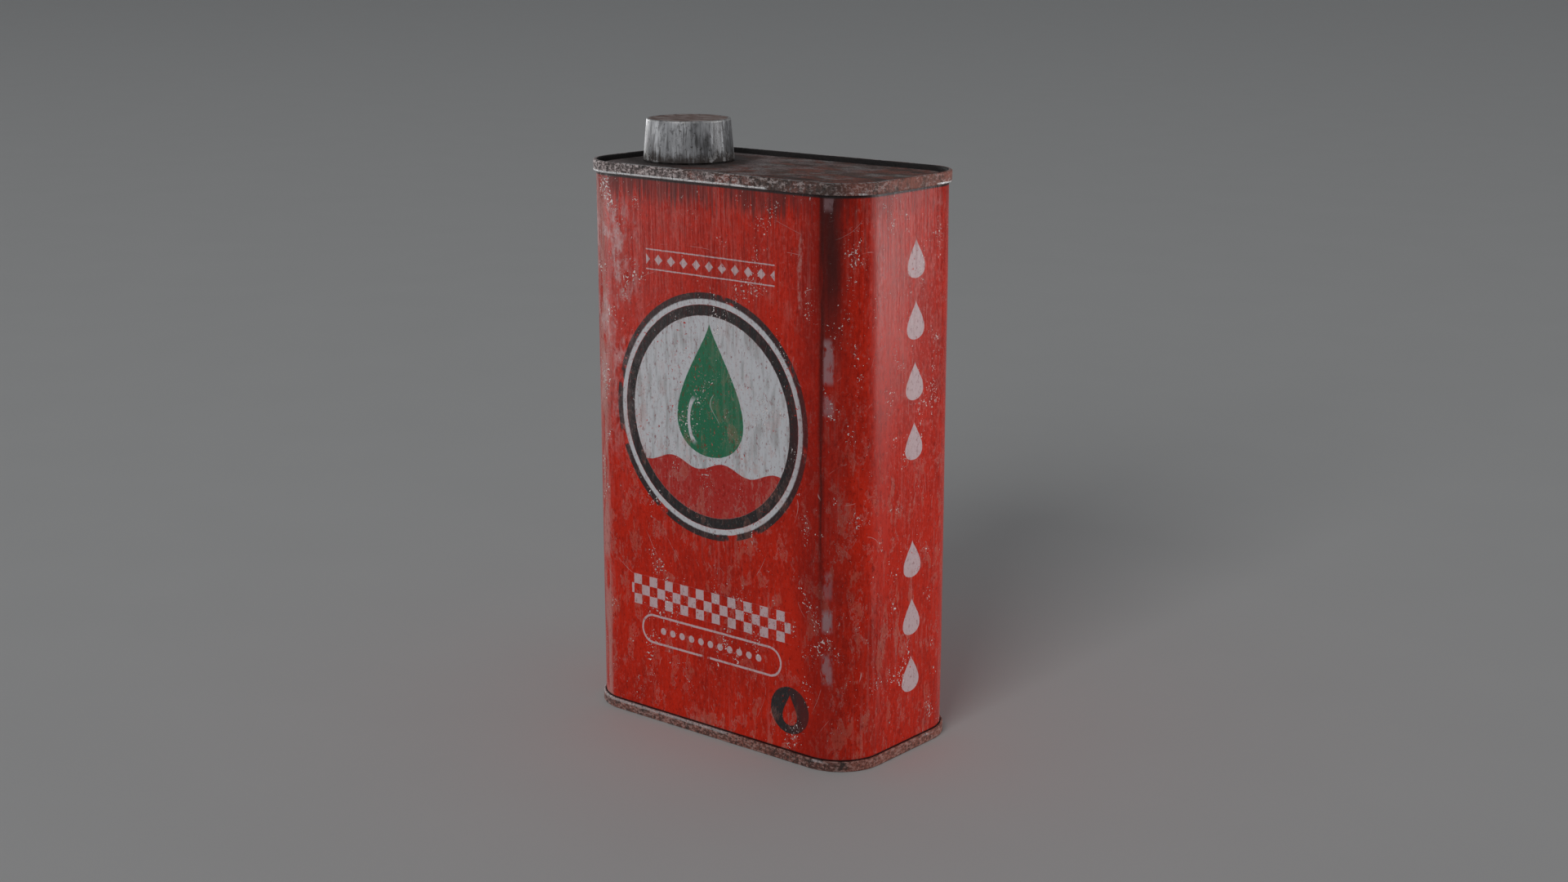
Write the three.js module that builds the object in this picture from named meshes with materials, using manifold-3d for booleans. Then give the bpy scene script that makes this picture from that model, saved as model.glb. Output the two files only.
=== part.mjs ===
// A one-litre rectangular oil tin with rounded corners and a screw cap, in millimetres.
// +Z is up, the broad label face looks along -Y, and the origin is the centre of the foot.
// The tin is drawn from sheet: a wrapped body, two ends double-seamed to it, a rolled screw
// neck soldered to the top end, and a two-shell cap with a liner.
import * as THREE from "three";
import { mergeVertices } from "three/addons/utils/BufferGeometryUtils.js";
import Module from "manifold-3d";

const wasm = await Module();
wasm.setup();

// Sheet and fits
const SHEET = 0.28; // tinplate, all pieces
const PLAY = 0.05; // between layers that touch on the real tin

// Body, measured to the outer face of the body sheet
const HEIGHT = 180; // over both seams
const WIDTH = 109.6; // along X
const DEPTH = 57.3; // along Y
const CORNER = 14.2; // radius of the upright corners
const CORNER_STEPS = 8; // facets in one corner

// Double seams
const TOP_BAND = 3.6; // height of the top seam
const FOOT_BAND = 3.3; // height of the bottom seam
const BEND = 0.3; // outer rounding of the seam
const COMPOUND = 0.6; // height of the sealing compound under the body hook

// Ends, as depths below their seam's crest and widths inside the chuck wall
const GROOVE_DEPTH = 3.8;
const GROOVE_WIDTH = 1.25;
const TOP_PANEL_DEPTH = 1.4;
const FOOT_PANEL_DEPTH = 2.6;
const FOOT_STEP = 0.6; // rise of the expansion step in the bottom panel
const FOOT_STEP_AT = -9; // its place, inside the body's outer face
const PANEL_LAP = 2; // how far the flat plate runs under the formed edge of an end

// Neck and cap, on the neck's own axis
const NECK_X = -33.3;
const NECK_ROOT = 11.1; // outer radius between threads
const THREAD_HEIGHT = 0.9; // root to crest
const THREAD_PITCH = 4.2;
const THREAD_ROW = 0.7; // height of one row of facets on a thread
const NECK_TOP = HEIGHT + 10.2;
const THREAD_FADE = 1; // height over which a thread runs out
const NECK_PLAIN = [1.2, 1.4]; // unthreaded heights under and over the neck's thread
const LIP = 1.1; // width of the rolled lip
const FLANGE = 13.2; // radius of the neck's flange
const COLLAR_HEIGHT = 1.2; // of the panel's plunged collar, inside the neck
const FILLET = 0.65; // width of the solder round the neck's flange
const CAP_TOP = HEIGHT + 12.1;
const CAP_TOP_RADIUS = 13.5;
const CAP_FOOT_RADIUS = 14.6;
const CAP_GAP = 0.4; // from the cap's hem to the top panel
const CAP_HEM = 1.05; // width of the hem turned in under the insert
const THREAD_GAP = 0.35; // from the neck's thread to the cap's
const LINER = 1; // thickness of the liner
const FACING = 0.1; // thickness of its facing
const LINER_RADIUS = 12;
const ROUND_STEPS = 28; // facets round the neck and the cap

// Side seam, in the middle of the narrow side at -X
const SLIT = 0.3; // between the edges of the outer layer
const LAP = 3; // width of the lapped tongue
const BEAD = 3; // width of the solder bead over the slit
const BEAD_HEIGHT = 0.15;
const LAP_END = 5; // the tongue stops this far from both ends of the tin

// Layers of a double seam, as distances outside the body sheet's outer face
const WALL = [-SHEET, 0];
const CHUCK = layerInside(WALL);
const COVER_HOOK = layerOutside(WALL);
const BODY_HOOK = layerOutside(COVER_HOOK);
const SEAM = layerOutside(BODY_HOOK);

const PANEL_TOP = HEIGHT - TOP_PANEL_DEPTH;
const CAP_FOOT = PANEL_TOP + CAP_GAP;

function layerOutside([, outer]) {
  return [outer + PLAY, outer + PLAY + SHEET];
}

function layerInside([inner]) {
  return [inner - PLAY - SHEET, inner - PLAY];
}

// --- Solids -----------------------------------------------------------------------------

function toSolid(geometry) {
  const bare = geometry.clone();
  bare.deleteAttribute("normal");
  bare.deleteAttribute("uv");
  const merged = mergeVertices(bare, 1e-4);
  return new wasm.Manifold(
    new wasm.Mesh({
      numProp: 3,
      vertProperties: merged.attributes.position.array,
      triVerts: new Uint32Array(merged.index.array),
    }),
  );
}

function toGeometry(solid) {
  const mesh = solid.getMesh();
  const geometry = new THREE.BufferGeometry();
  geometry.setAttribute("position", new THREE.BufferAttribute(mesh.vertProperties, 3));
  geometry.setIndex(new THREE.BufferAttribute(mesh.triVerts, 1));
  geometry.computeVertexNormals();
  return geometry;
}

// A [radius, z] section turned round the Z axis. It starts and ends on the axis, or is closed.
function turned(section, steps = ROUND_STEPS, start = 0) {
  const points = section.map(([radius, z]) => new THREE.Vector2(radius, z));
  if (THREE.ShapeUtils.area(points) < 0) {
    points.reverse();
  }
  if (points[0].x > 0) {
    points.push(points[0]);
  }
  return new THREE.LatheGeometry(points, steps, start).rotateX(Math.PI / 2);
}

function disc(radius, bottom, top) {
  return turned([
    [0, bottom],
    [radius, bottom],
    [radius, top],
    [0, top],
  ]);
}

// A closed [out, z] section carried round the body's rounded rectangle: a ring is turned at
// the corner radius, then its four quarters are pulled apart to the four corners.
function aroundBody(section) {
  const halfStep = Math.PI / (4 * CORNER_STEPS);
  const ring = section.map(([out, z]) => [(CORNER + out) / Math.cos(halfStep), z]);
  const geometry = turned(ring, 4 * CORNER_STEPS, halfStep);
  const place = geometry.attributes.position;
  for (let i = 0; i < place.count; i++) {
    place.setX(i, place.getX(i) + Math.sign(place.getX(i)) * (WIDTH / 2 - CORNER));
    place.setY(i, place.getY(i) + Math.sign(place.getY(i)) * (DEPTH / 2 - CORNER));
  }
  return geometry;
}

// A flat plate inside the rounded rectangle, its edge a distance out from the body's face,
// with a round hole where one is given as [x, radius].
function plate(out, bottom, thickness, hole) {
  const shape = new THREE.Shape();
  const radius = CORNER + out;
  const x = WIDTH / 2 - CORNER;
  const y = DEPTH / 2 - CORNER;
  shape.absarc(x, y, radius, 0, Math.PI / 2);
  shape.absarc(-x, y, radius, Math.PI / 2, Math.PI);
  shape.absarc(-x, -y, radius, Math.PI, 1.5 * Math.PI);
  shape.absarc(x, -y, radius, 1.5 * Math.PI, 2 * Math.PI);
  if (hole) {
    shape.holes.push(new THREE.Path().absarc(hole[0], 0, hole[1], 0, 2 * Math.PI));
  }
  const options = { depth: thickness, bevelEnabled: false, curveSegments: ROUND_STEPS / 2 };
  return new THREE.ExtrudeGeometry(shape, options).translate(0, 0, bottom);
}

function box(low, high) {
  const size = high.map((value, i) => value - low[i]);
  const middle = high.map((value, i) => (value + low[i]) / 2);
  return new THREE.BoxGeometry(...size).translate(...middle);
}

// --- Double seams -----------------------------------------------------------------------
// Sections here are [out, depth], with depth measured from the seam's crest into the tin.

const atTop = ([out, depth]) => [out, HEIGHT - depth];
const atFoot = ([out, depth]) => [out, depth];

const bodyHookEnd = (band) => band - SHEET - COMPOUND - 2 * PLAY;

// The body sheet's edge: from its inner face over the fold and back to its outer face.
function bodyHook(band) {
  const crest = SHEET + PLAY;
  const end = bodyHookEnd(band);
  return [
    [WALL[0], crest],
    [BODY_HOOK[1] - BEND / 2, crest],
    [BODY_HOOK[1], crest + BEND / 2],
    [BODY_HOOK[1], end],
    [BODY_HOOK[0], end],
    [BODY_HOOK[0], crest + SHEET],
    [WALL[1], crest + SHEET],
  ];
}

// The end's outer face from the chuck wall over the crest to the lower edge of the seam, then
// the cover hook tucked up inside it, and the inner face back to the chuck wall.
function endSeam(band) {
  const hookTop = 2 * (SHEET + PLAY) + 3 * PLAY;
  const cut = BEND / 3;
  return [
    [CHUCK[0], BEND],
    [CHUCK[0] + cut, cut],
    [CHUCK[0] + BEND, 0],
    [SEAM[1] - BEND, 0],
    [SEAM[1] - cut, cut],
    [SEAM[1], BEND],
    [SEAM[1], band - BEND],
    [SEAM[1] - cut, band - cut],
    [SEAM[1] - BEND, band],
    [COVER_HOOK[0] + BEND / 2, band],
    [COVER_HOOK[0], band - BEND / 2],
    [COVER_HOOK[0], hookTop],
    [COVER_HOOK[1], hookTop],
    [COVER_HOOK[1], band - SHEET],
    [SEAM[0], band - SHEET],
    [SEAM[0], SHEET],
    [CHUCK[1], SHEET],
  ];
}

// The countersink groove inside the seam, and the step from it to the panel's formed edge.
function endSection(band, panelDepth, panelEdge) {
  const cut = BEND / 3;
  const grooveIn = CHUCK[0] - GROOVE_WIDTH;
  return [
    ...panelEdge,
    [grooveIn - BEND, panelDepth],
    [grooveIn, panelDepth + BEND],
    [grooveIn, GROOVE_DEPTH - cut],
    [grooveIn + cut, GROOVE_DEPTH],
    [CHUCK[0] - cut, GROOVE_DEPTH],
    [CHUCK[0], GROOVE_DEPTH - cut],
    ...endSeam(band),
    [CHUCK[1], GROOVE_DEPTH + SHEET - BEND],
    [CHUCK[1] - BEND, GROOVE_DEPTH + SHEET],
    [grooveIn - SHEET + BEND, GROOVE_DEPTH + SHEET],
    [grooveIn - SHEET, GROOVE_DEPTH + SHEET - BEND],
    [grooveIn - SHEET, panelDepth + SHEET],
    ...panelEdge.map(([out, depth]) => [out, depth + SHEET]).reverse(),
  ];
}

function seamCompound(band, place) {
  const low = bodyHookEnd(band) + PLAY;
  const section = [
    [BODY_HOOK[0], low],
    [BODY_HOOK[1], low],
    [BODY_HOOK[1], low + COMPOUND],
    [BODY_HOOK[0], low + COMPOUND],
  ];
  return aroundBody(section.map(place));
}

// --- Pieces of the tin ------------------------------------------------------------------

// One sheet wrapped round, slit down the narrow side at -X and lapped behind by a tongue.
function bodyShell() {
  const section = [...bodyHook(TOP_BAND).map(atTop), ...bodyHook(FOOT_BAND).map(atFoot).reverse()];
  const face = -WIDTH / 2;
  const inside = face + SHEET;
  const slit = box([face - 1, -SLIT / 2, 0], [inside + SHEET / 2, SLIT / 2, HEIGHT]);
  const tongueFaces = [inside + PLAY, inside + PLAY + SHEET];
  const tongue = box([tongueFaces[0], -LAP / 2, LAP_END], [tongueFaces[1], LAP, HEIGHT - LAP_END]);
  const joggle = box(
    [inside - SHEET / 2, -LAP / 2, LAP_END],
    [tongueFaces[1], -SLIT, HEIGHT - LAP_END],
  );
  const sheet = toSolid(aroundBody(section)).subtract(toSolid(slit));
  return toGeometry(sheet.add(toSolid(tongue)).add(toSolid(joggle)));
}

// Solder run into the slit, with a low bead wiped flat over it.
function sideSeamSolder() {
  const halfStem = SLIT / 2 - PLAY;
  const halfBead = BEAD / 2;
  const bead = [PLAY, PLAY + BEAD_HEIGHT];
  const shape = new THREE.Shape();
  shape.moveTo(-halfStem, -SHEET);
  shape.lineTo(halfStem, -SHEET);
  shape.lineTo(halfStem, bead[0]);
  shape.lineTo(halfBead, bead[0]);
  shape.lineTo(halfBead / 2, bead[1]);
  shape.lineTo(-halfBead / 2, bead[1]);
  shape.lineTo(-halfBead, bead[0]);
  shape.lineTo(-halfStem, bead[0]);
  const length = HEIGHT - TOP_BAND - FOOT_BAND - 2 * PLAY;
  const geometry = new THREE.ExtrudeGeometry(shape, { depth: length, bevelEnabled: false });
  geometry.rotateZ(Math.PI / 2);
  return geometry.translate(-WIDTH / 2, 0, FOOT_BAND + PLAY);
}

// The top end: seam, groove and raised flat panel with a collar plunged up into the neck.
function topEnd() {
  const lip = CHUCK[0] - GROOVE_WIDTH - 2 * PANEL_LAP;
  const section = endSection(TOP_BAND, TOP_PANEL_DEPTH, [[lip, TOP_PANEL_DEPTH]]);
  const collar = [NECK_ROOT - 2 * SHEET - PLAY, NECK_ROOT - SHEET - PLAY];
  const panel = plate(lip + PANEL_LAP, PANEL_TOP - SHEET, SHEET, [NECK_X, collar[0]]);
  const ring = turned([
    [collar[0], PANEL_TOP - SHEET],
    [collar[1] + BEND, PANEL_TOP - SHEET],
    [collar[1] + BEND, PANEL_TOP],
    [collar[1], PANEL_TOP],
    [collar[1], PANEL_TOP + COLLAR_HEIGHT],
    [collar[0], PANEL_TOP + COLLAR_HEIGHT],
  ]).translate(NECK_X, 0, 0);
  const edge = toSolid(aroundBody(section.map(atTop)));
  return toGeometry(edge.add(toSolid(panel)).add(toSolid(ring)));
}

// The bottom end: seam, groove and a panel with one expansion step.
function bottomEnd() {
  const lip = FOOT_STEP_AT - PANEL_LAP;
  const middle = FOOT_PANEL_DEPTH + FOOT_STEP;
  const section = endSection(FOOT_BAND, FOOT_PANEL_DEPTH, [
    [lip, middle],
    [FOOT_STEP_AT, middle],
    [FOOT_STEP_AT + FOOT_STEP, FOOT_PANEL_DEPTH],
  ]);
  const edge = toSolid(aroundBody(section.map(atFoot)));
  return toGeometry(edge.add(toSolid(plate(lip + PANEL_LAP / 2, middle, SHEET))));
}

// --- Neck and cap -----------------------------------------------------------------------

// How far a thread's section has risen at this height and angle, from 0 at its root to 1 at
// its crest. The right-hand thread fades out at both ends of the threaded length.
function threadRise(z, angle, low, high) {
  const fade = (from, to) => THREE.MathUtils.smoothstep(z, from, to);
  const turn = (2 * Math.PI * (z - PANEL_TOP)) / THREAD_PITCH - angle;
  const strength = fade(low, low + THREAD_FADE) * (1 - fade(high - THREAD_FADE, high));
  return (strength * (1 + Math.cos(turn))) / 2;
}

// Heights of the rows of facets along a threaded wall.
function threadRows(low, high) {
  const count = Math.round((high - low) / THREAD_ROW);
  return Array.from({ length: count + 1 }, (_, i) => low + ((high - low) * i) / count);
}

// Moves each vertex of a turned piece out or in by push(radius, z, angle).
function reshape(geometry, push) {
  const place = geometry.attributes.position;
  for (let i = 0; i < place.count; i++) {
    const [x, y, z] = [place.getX(i), place.getY(i), place.getZ(i)];
    const radius = Math.hypot(x, y);
    const scale = 1 + push(radius, z, Math.atan2(y, x)) / radius;
    place.setXYZ(i, x * scale, y * scale, z);
  }
  return geometry;
}

const nearWall = (radius, wall) => Math.abs(radius - wall) < SHEET + PLAY;

// The neck: flange, barrel with a rolled thread, and a lip curled inwards.
function fillerNeck() {
  const foot = PANEL_TOP + PLAY;
  const inner = NECK_ROOT - SHEET;
  const low = foot + NECK_PLAIN[0];
  const high = NECK_TOP - NECK_PLAIN[1];
  const rows = threadRows(low, high);
  const lipIn = NECK_ROOT - LIP;
  const geometry = turned([
    [inner, foot],
    [FLANGE, foot],
    [FLANGE, foot + SHEET],
    [NECK_ROOT + BEND / 2, foot + SHEET],
    [NECK_ROOT, foot + SHEET + BEND / 2],
    ...rows.map((z) => [NECK_ROOT, z]),
    [NECK_ROOT, NECK_TOP - BEND],
    [NECK_ROOT - BEND, NECK_TOP],
    [lipIn + BEND, NECK_TOP],
    [lipIn, NECK_TOP - BEND],
    [lipIn, NECK_TOP - 3 * BEND],
    [lipIn + SHEET, NECK_TOP - 3 * BEND],
    [lipIn + SHEET, NECK_TOP - SHEET],
    [inner, NECK_TOP - SHEET],
    ...rows.map((z) => [inner, z]).reverse(),
  ]);
  return reshape(geometry, (radius, z, angle) =>
    nearWall(radius, NECK_ROOT) ? THREAD_HEIGHT * threadRise(z, angle, low, high) : 0,
  );
}

// A fillet of solder round the neck's flange.
function neckSolder() {
  const inner = FLANGE + PLAY;
  const foot = PANEL_TOP + PLAY;
  return turned([
    [inner, foot],
    [inner + FILLET, foot],
    [inner + FILLET / 2, foot + SHEET / 2],
    [inner, foot + SHEET],
  ]);
}

// The cap's outer shell: flat top, smooth tapered skirt, and a hem turned in at the foot.
function capShell() {
  const slope = (CAP_FOOT_RADIUS - CAP_TOP_RADIUS) / (CAP_TOP - CAP_FOOT);
  const outer = (z) => CAP_TOP_RADIUS + slope * (CAP_TOP - z);
  const shoulder = 2 * BEND;
  const hemIn = CAP_FOOT_RADIUS - CAP_HEM;
  return turned([
    [0, CAP_TOP - SHEET],
    [outer(CAP_TOP) - SHEET - shoulder / 2, CAP_TOP - SHEET],
    [outer(CAP_TOP) - SHEET, CAP_TOP - SHEET - shoulder / 2],
    [outer(CAP_FOOT) - SHEET, CAP_FOOT + SHEET],
    [hemIn, CAP_FOOT + SHEET],
    [hemIn, CAP_FOOT],
    [outer(CAP_FOOT) - BEND / 2, CAP_FOOT],
    [outer(CAP_FOOT), CAP_FOOT + BEND / 2],
    [outer(CAP_TOP - shoulder), CAP_TOP - shoulder],
    [outer(CAP_TOP) - shoulder / 3, CAP_TOP - shoulder / 3],
    [outer(CAP_TOP) - shoulder, CAP_TOP],
    [0, CAP_TOP],
  ]);
}

const INSERT_TOP = CAP_TOP - SHEET - PLAY;
const INSERT_ROOT = NECK_ROOT + THREAD_HEIGHT + THREAD_GAP; // inner radius between threads

// The cap's inner shell: a rolled thread that runs on the neck, and a flange over the hem.
function capInsert() {
  const foot = CAP_FOOT + SHEET + PLAY;
  const flange = CAP_FOOT_RADIUS - SHEET - 2 * PLAY;
  const low = foot + SHEET + PLAY;
  const high = INSERT_TOP - SHEET - LINER - FACING - 4 * PLAY;
  const rows = threadRows(low, high);
  const outer = INSERT_ROOT + SHEET;
  const geometry = turned([
    [0, INSERT_TOP - SHEET],
    [INSERT_ROOT, INSERT_TOP - SHEET],
    ...rows.map((z) => [INSERT_ROOT, z]).reverse(),
    [INSERT_ROOT, foot],
    [flange, foot],
    [flange, foot + SHEET],
    ...rows.map((z) => [outer, z]),
    [outer, INSERT_TOP - BEND],
    [outer - BEND, INSERT_TOP],
    [0, INSERT_TOP],
  ]);
  // The insert's thread stands in where the neck's is low, half a turn on.
  return reshape(geometry, (radius, z, angle) =>
    nearWall(radius, INSERT_ROOT) ? -THREAD_HEIGHT * threadRise(z, angle + Math.PI, low, high) : 0,
  );
}

const LINER_TOP = INSERT_TOP - SHEET - PLAY;

const capLiner = () => disc(LINER_RADIUS, LINER_TOP - LINER, LINER_TOP);

function linerFacing() {
  const top = LINER_TOP - LINER - PLAY;
  return disc(LINER_RADIUS, top - FACING, top);
}

// --- Assembly ---------------------------------------------------------------------------

const material = (color, roughness, metalness) =>
  new THREE.MeshStandardMaterial({ color, roughness, metalness });

const PAINT = material(0xb3261b, 0.45, 0.1);
const RUST = material(0x6a4538, 0.75, 0.4);
const BARE = material(0x9a9c98, 0.45, 0.8);
const SOLDER = material(0x8c8d8b, 0.5, 0.8);
const SEALANT = material(0x4b4a45, 0.8, 0);
const BOARD = material(0xb79e78, 0.9, 0);
const FOIL = material(0xc9cacb, 0.3, 0.9);

function piece(name, geometry, finish) {
  const mesh = new THREE.Mesh(geometry, finish);
  mesh.name = name;
  return mesh;
}

const body = new THREE.Group();
body.add(
  piece("body_shell", bodyShell(), PAINT),
  piece("side_seam_solder", sideSeamSolder(), SOLDER),
  piece("top_end", topEnd(), RUST),
  piece("bottom_end", bottomEnd(), RUST),
  piece("top_seam_compound", seamCompound(TOP_BAND, atTop), SEALANT),
  piece("bottom_seam_compound", seamCompound(FOOT_BAND, atFoot), SEALANT),
);

const spout = new THREE.Group();
spout.add(
  piece("filler_neck", fillerNeck(), BARE),
  piece("neck_solder", neckSolder(), SOLDER),
);

const closure = new THREE.Group();
closure.add(
  piece("cap_shell", capShell(), BARE),
  piece("cap_insert", capInsert(), BARE),
  piece("cap_liner", capLiner(), BOARD),
  piece("liner_facing", linerFacing(), FOIL),
);

spout.position.x = NECK_X;
closure.position.x = NECK_X;

const tin = new THREE.Group();
tin.add(body, spout, closure);

export default tin;
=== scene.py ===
import math

import bmesh
import bpy
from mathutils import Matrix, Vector, noise


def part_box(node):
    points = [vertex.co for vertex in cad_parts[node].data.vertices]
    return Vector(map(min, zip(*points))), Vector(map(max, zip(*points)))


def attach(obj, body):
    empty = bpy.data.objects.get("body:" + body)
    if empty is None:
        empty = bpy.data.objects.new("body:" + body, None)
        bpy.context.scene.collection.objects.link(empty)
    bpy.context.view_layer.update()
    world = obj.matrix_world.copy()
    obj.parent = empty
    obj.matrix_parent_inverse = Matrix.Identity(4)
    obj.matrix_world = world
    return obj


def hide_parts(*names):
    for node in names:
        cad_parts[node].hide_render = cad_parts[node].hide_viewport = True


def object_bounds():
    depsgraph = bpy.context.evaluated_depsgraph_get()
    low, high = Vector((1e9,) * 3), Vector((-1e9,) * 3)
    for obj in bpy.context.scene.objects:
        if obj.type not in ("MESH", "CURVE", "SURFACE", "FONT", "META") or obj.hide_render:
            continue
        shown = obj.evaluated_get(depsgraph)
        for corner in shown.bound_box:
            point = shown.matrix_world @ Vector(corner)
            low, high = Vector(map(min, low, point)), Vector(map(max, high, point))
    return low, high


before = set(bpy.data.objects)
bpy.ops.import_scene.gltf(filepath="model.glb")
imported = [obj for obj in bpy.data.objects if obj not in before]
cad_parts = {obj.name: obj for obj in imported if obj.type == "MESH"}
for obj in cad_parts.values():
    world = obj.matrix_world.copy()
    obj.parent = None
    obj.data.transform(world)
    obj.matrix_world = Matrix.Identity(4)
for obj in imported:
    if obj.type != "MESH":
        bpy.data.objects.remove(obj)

MM = 0.001
CAD_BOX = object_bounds()

# Sizes in millimetres that the frame's boxes don't give
SHEET = 0.28
PLAY = 0.05
CORNER = 14.2  # outer radius of the body's upright corners
GROOVE_DEPTH = 3.8
GROOVE_WIDTH = 1.25
PANEL_DEPTH = 1.4  # of the top panel below the rim
FOOT_PANEL_DEPTH = 2.6
FOOT_STEP = 0.6  # rise of the step in the bottom panel
FOOT_STEP_AT = -9.0
NECK_ROOT = 11.1
THREAD_HEIGHT = 0.9
THREAD_PITCH = 4.2
THREAD_GAP = 0.35  # between the neck's crests and the cap's roots
COLLAR_HEIGHT = 1.2  # of the top's collar, which stands inside the neck
TOP_BAND = 3.6  # height of the top seam
FOOT_BAND = 3.3

# Layers of a double seam, outwards from the body sheet's outer face
WALL = (-SHEET, 0.0)
CHUCK = (WALL[0] - PLAY - SHEET, WALL[0] - PLAY)
COVER_HOOK = (WALL[1] + PLAY, WALL[1] + PLAY + SHEET)
BODY_HOOK = (COVER_HOOK[1] + PLAY, COVER_HOOK[1] + PLAY + SHEET)
SEAM = (BODY_HOOK[1] + PLAY, BODY_HOOK[1] + PLAY + SHEET)


def box_mm(node):
    low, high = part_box(node)
    return Vector(low) / MM, Vector(high) / MM


SHELL_HIGH = box_mm("body_shell")[1]
HALF_WIDTH = SHELL_HIGH.x - BODY_HOOK[1]
HALF_DEPTH = SHELL_HIGH.y - BODY_HOOK[1]
RIM = SHELL_HIGH.z + SHEET + PLAY
PANEL = RIM - PANEL_DEPTH
NECK_LOW, NECK_HIGH = box_mm("filler_neck")
NECK_X = (NECK_LOW.x + NECK_HIGH.x) / 2
CAP_LOW, CAP_HIGH = box_mm("cap_shell")
CAP_TAPER = 1.1
CAP_FOOT_RADIUS = (CAP_HIGH.x - CAP_LOW.x) / 2
CAP_TOP_RADIUS = CAP_FOOT_RADIUS - CAP_TAPER

# The camera, fitted to the photograph. It looks at a point this far from the tin's middle, in metres
CAMERA_AIM = Vector((0.0043, 0.0021, -0.0042))
CAMERA_YAW = 39.69  # degrees from the front of the label towards +X
CAMERA_PITCH = 13.67  # degrees above level
CAMERA_REACH = 0.6932


# --- Meshes -----------------------------------------------------------------------------


def smooth(t):
    """0 below 0, 1 above 1, and an S curve between."""
    t = min(1.0, max(0.0, t))
    return t * t * (3 - 2 * t)


def arc(centre, radius, start, end, steps=5):
    """Points of a rounded bend in a section, with angles in degrees."""
    angles = [math.radians(start + (end - start) * i / steps) for i in range(steps + 1)]
    return [(centre[0] + radius * math.cos(a), centre[1] + radius * math.sin(a)) for a in angles]


def stations(corner_steps=14, spacing=4.0):
    """Points round the body's rounded rectangle: a foot on the inner rectangle and the way outwards."""
    a, b = HALF_WIDTH - CORNER, HALF_DEPTH - CORNER
    found = []
    corners = [(a, b, 0), (-a, b, 90), (-a, -b, 180), (a, -b, 270)]
    for i, (x, y, start) in enumerate(corners):
        for k in range(corner_steps + 1):
            turn = math.radians(start + 90 * k / corner_steps)
            found.append(((x, y), (math.cos(turn), math.sin(turn))))
        nx, ny, _ = corners[(i + 1) % 4]
        count = max(1, round(math.dist((x, y), (nx, ny)) / spacing))
        turn = math.radians(start + 90)
        for k in range(1, count):
            foot = (x + (nx - x) * k / count, y + (ny - y) * k / count)
            found.append((foot, (round(math.cos(turn), 9), round(math.sin(turn), 9))))
    return found


def around_body(section, shape=None):
    """One ring of points for each [out, z] of the section. shape(x, y, z) gives a push outwards."""
    rings = []
    for out, z in section:
        ring = []
        for (x, y), (nx, ny) in stations():
            px, py = x + nx * (CORNER + out), y + ny * (CORNER + out)
            push = shape(px, py, z) if shape else 0.0
            ring.append((px + nx * push, py + ny * push, z))
        rings.append(ring)
    return rings


def turned(section, push=None, steps=96):
    """One ring for each [radius, z] of a section turned round the neck's axis.
    push(radius, z, turn) moves a point out."""
    rings = []
    for radius, z in section:
        ring = []
        for k in range(steps):
            turn = 2 * math.pi * k / steps
            r = radius + (push(radius, z, turn) if push else 0)
            ring.append((NECK_X + r * math.cos(turn), r * math.sin(turn), z))
        rings.append(ring)
    return rings


def add_rings(bm, rings, closed):
    """Quads between neighbouring rings, and from the last to the first if closed. Gives their vertices."""
    made = [[bm.verts.new([c * MM for c in point]) for point in ring] for ring in rings]
    pairs = list(zip(made, made[1:]))
    if closed:
        pairs.append((made[-1], made[0]))
    for low, high in pairs:
        count = len(low)
        for k in range(count):
            m = (k + 1) % count
            bm.faces.new((low[k], low[m], high[m], high[k]))
    return made


def close_ends(bm, rings):
    """Ends a solid with a face on its first and last ring."""
    bm.faces.new(rings[0])
    bm.faces.new(rings[-1])


def level(ring):
    """Makes a ring flat, at the height of its first vertex."""
    height = ring[0].co.z
    for vert in ring:
        vert.co.z = height


def ring_edges(ring):
    """The edges between a ring's vertices."""
    edges = []
    for k, vert in enumerate(ring):
        following = ring[(k + 1) % len(ring)]
        edges.append(next(e for e in vert.link_edges if e.other_vert(vert) == following))
    return edges


def finish_piece(bm, name, body, node, material, sharp=32):
    """Makes the piece, which rides on its body and stands for its CAD node."""
    bmesh.ops.remove_doubles(bm, verts=bm.verts, dist=1e-7)
    bmesh.ops.recalc_face_normals(bm, faces=bm.faces)
    mesh = bpy.data.meshes.new(name)
    bm.to_mesh(mesh)
    bm.free()
    mesh.shade_smooth()
    mesh.set_sharp_from_angle(angle=math.radians(sharp))
    piece = bpy.data.objects.new(name, mesh)
    bpy.context.scene.collection.objects.link(piece)
    mesh.materials.append(material)
    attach(piece, body)
    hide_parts(node)
    return piece


def wave(x, y, z, size, seed):
    """Smooth noise between about -1 and 1 with bumps of this size."""
    return noise.noise(Vector((x / size + seed, y / size - seed, z / size + 2 * seed)))


# --- Double seams -----------------------------------------------------------------------


def body_hook(band):
    """The folded edge of the body sheet, as [out, depth below the crest]."""
    crest = SHEET + PLAY
    end = band - SHEET - 0.6 - 2 * PLAY
    middle = (WALL[0] + BODY_HOOK[1]) / 2
    outer = (BODY_HOOK[1] - WALL[0]) / 2
    turn = arc((middle, crest + outer), outer, 180, 0, 10)
    bend = [(out, 2 * (crest + outer) - depth) for out, depth in turn]
    return [
        *bend, (BODY_HOOK[1], end), (BODY_HOOK[0], end), (BODY_HOOK[0], crest + outer),
        (WALL[1] + 0.16, crest + SHEET), (WALL[1], crest + outer),
    ]


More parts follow.
